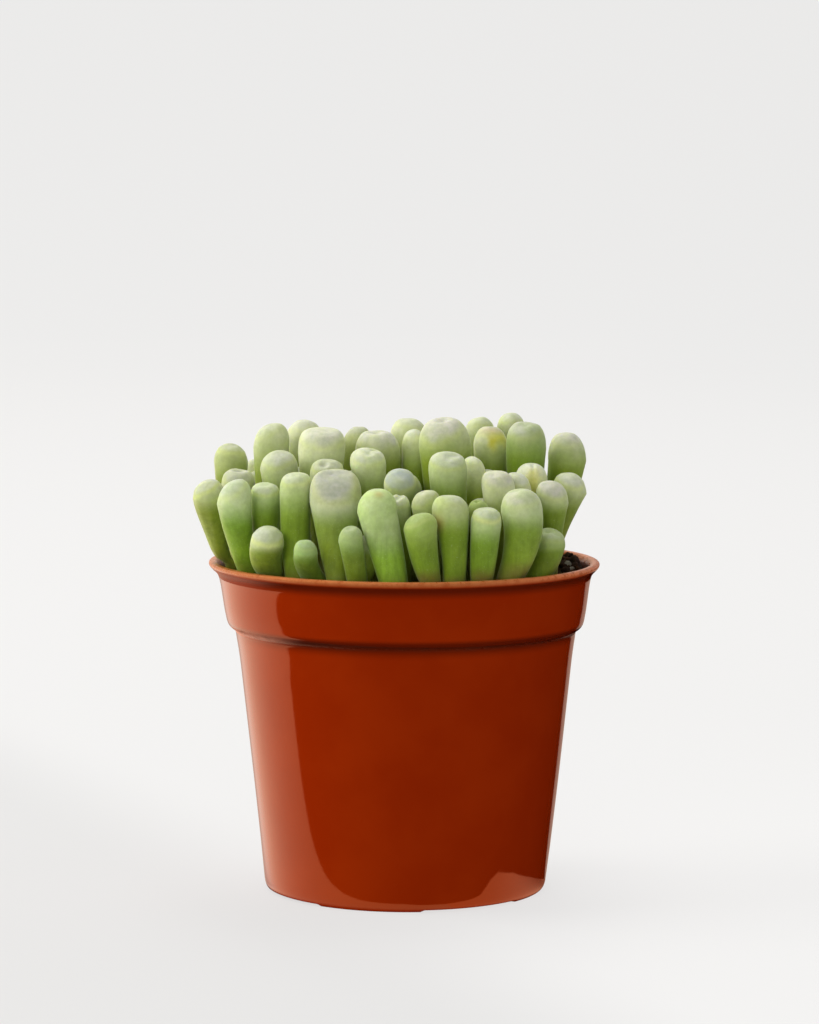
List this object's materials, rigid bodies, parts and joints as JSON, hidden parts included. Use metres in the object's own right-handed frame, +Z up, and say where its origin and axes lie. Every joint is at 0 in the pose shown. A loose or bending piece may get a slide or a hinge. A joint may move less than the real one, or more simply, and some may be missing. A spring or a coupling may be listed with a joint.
{
  "type": "potted baby toes",
  "caption": "Clump of club-shaped window-tipped succulent leaves growing in peat in a round tapered plastic nursery pot with a stepped collar and a flared lip",
  "frame": {"origin": "on the pot's axis, at the centre of the flat pad under the pot, on the plane the pot stands on", "axes": "+Z is up, along the pot's axis; -Y is the front; +X is the right seen from the front"},
  "size_m": [0.0878, 0.0851, 0.1035],
  "materials": {
    "pot_plastic": "smooth glossy terracotta-coloured injection-moulded plastic",
    "peat": "dark crumbly peat with a few pale grains",
    "leaf": "waxy matte yellow-green skin, greyish translucent window at the tip"
  },
  "bodies": {
    "root": {"leaf_01": "leaf", "leaf_02": "leaf", "leaf_03": "leaf", "leaf_04": "leaf", "leaf_08": "leaf", "leaf_10": "leaf", "leaf_12": "leaf", "leaf_13": "leaf", "leaf_15": "leaf", "leaf_16": "leaf", "leaf_17": "leaf", "leaf_18": "leaf", "leaf_20": "leaf", "leaf_23": "leaf", "leaf_24": "leaf", "leaf_26": "leaf", "leaf_27": "leaf", "leaf_28": "leaf", "leaf_29": "leaf", "leaf_31": "leaf", "leaf_34": "leaf", "leaf_35": "leaf", "leaf_36": "leaf", "leaf_37": "leaf", "leaf_38": "leaf", "leaf_39": "leaf", "leaf_40": "leaf", "leaf_41": "leaf", "leaf_43": "leaf", "leaf_pair_01": "leaf", "leaf_pair_02": "leaf", "leaf_pair_03": "leaf", "leaf_pair_04": "leaf", "leaf_pair_05": "leaf", "leaf_pair_06": "leaf", "leaf_pair_07": "leaf", "leaf_pair_08": "leaf", "leaf_pair_09": "leaf", "leaf_pair_10": "leaf", "leaf_pair_11": "leaf", "leaf_pair_12": "leaf", "leaf_pair_13": "leaf", "leaf_pair_14": "leaf", "leaf_pair_15": "leaf", "leaf_pair_16": "leaf", "leaf_pair_17": "leaf", "leaf_pair_18": "leaf", "leaf_pair_19": "leaf", "leaf_pair_20": "leaf", "leaf_pair_21": "leaf", "leaf_pair_22": "leaf", "leaf_pair_23": "leaf", "leaf_pair_24": "leaf", "leaf_pair_25": "leaf", "leaf_pair_26": "leaf", "leaf_pair_27": "leaf", "leaf_pair_28": "leaf", "pot": "pot_plastic", "soil": "peat"}
  },
  "joints": []
}
